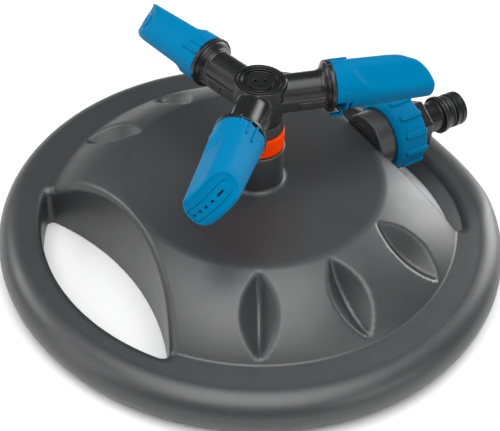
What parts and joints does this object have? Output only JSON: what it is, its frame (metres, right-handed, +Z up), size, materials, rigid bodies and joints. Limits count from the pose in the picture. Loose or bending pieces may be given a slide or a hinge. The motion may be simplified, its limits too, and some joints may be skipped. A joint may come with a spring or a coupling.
{
  "type": "rotary lawn sprinkler",
  "caption": "Rotary lawn sprinkler on a round base with hand-holds; its arms carry nozzles that turn, and a union nut joins the hose connector to the inlet.",
  "frame": {"origin": "on the rotor axis, in the plane that the base stands on", "axes": "+Z up along the rotor axis, +X out along the inlet and the hose connector"},
  "size_m": [0.221, 0.22, 0.094],
  "materials": {
    "base_grey": "moulded plastic with a fine satin texture",
    "hub_black": "moulded plastic, satin",
    "nozzle_blue": "moulded plastic with a soft gloss",
    "ring_orange": "moulded plastic, finely ribbed",
    "bearing_ivory": "machined acetal",
    "seal_rubber": "smooth rubber",
    "screw_steel": "bright steel"
  },
  "bodies": {
    "base": {"base_shell": "base_grey", "inlet_pipe": "base_grey", "pipe_seal": "seal_rubber", "riser_elbow": "hub_black", "elbow_screws": "screw_steel", "spindle": "bearing_ivory", "spindle_seal": "seal_rubber", "retaining_ring": "ring_orange", "thrust_washer": "bearing_ivory", "retaining_clip": "screw_steel"},
    "connector": {"hose_connector": "hub_black", "connector_o_ring": "seal_rubber", "union_washer": "seal_rubber"},
    "nut": {"union_nut": "nozzle_blue"},
    "rotor": {"rotor_sleeve": "hub_black", "rotor_seal": "seal_rubber", "rotor_hub": "hub_black", "hub_cap": "hub_black", "nozzle_seals": "seal_rubber"},
    "nozzle_one": {"nozzle_1": "nozzle_blue", "jet_plate_1": "nozzle_blue"},
    "nozzle_two": {"nozzle_2": "nozzle_blue", "jet_plate_2": "nozzle_blue"},
    "nozzle_three": {"nozzle_3": "nozzle_blue", "jet_plate_3": "nozzle_blue"}
  },
  "joints": [
    {"name": "rotor_spin", "type": "hinge", "parent": "base", "child": "rotor", "pos_m": [0, 0, 0.075], "axis": [0, 0, 1], "continuous": true},
    {"name": "nozzle_one_turn", "type": "hinge", "parent": "rotor", "child": "nozzle_one", "pos_m": [0.03149, -0.00987, 0.0825], "axis": [0.9542, -0.299, 0], "range_deg": [0, 40]},
    {"name": "nozzle_two_turn", "type": "hinge", "parent": "rotor", "child": "nozzle_two", "pos_m": [-0.0072, 0.0322, 0.0825], "axis": [-0.2181, 0.9759, 0], "range_deg": [0, 40]},
    {"name": "nozzle_three_turn", "type": "hinge", "parent": "rotor", "child": "nozzle_three", "pos_m": [-0.02429, -0.02234, 0.0825], "axis": [-0.7361, -0.6769, 0], "range_deg": [0, 40]},
    {"name": "connector_slide", "type": "slide", "parent": "base", "child": "connector", "axis": [1, 0, 0], "range_m": [0, 0.00907]},
    {"name": "union_nut_turn", "type": "hinge", "parent": "connector", "child": "nut", "pos_m": [0.0735, 0, 0.034], "axis": [1, 0, 0], "range_deg": [0, 1800]}
  ],
  "couplings": [
    {"joint": "connector_slide", "follows": "union_nut_turn", "m_per_rad": 0.0002887}
  ]
}
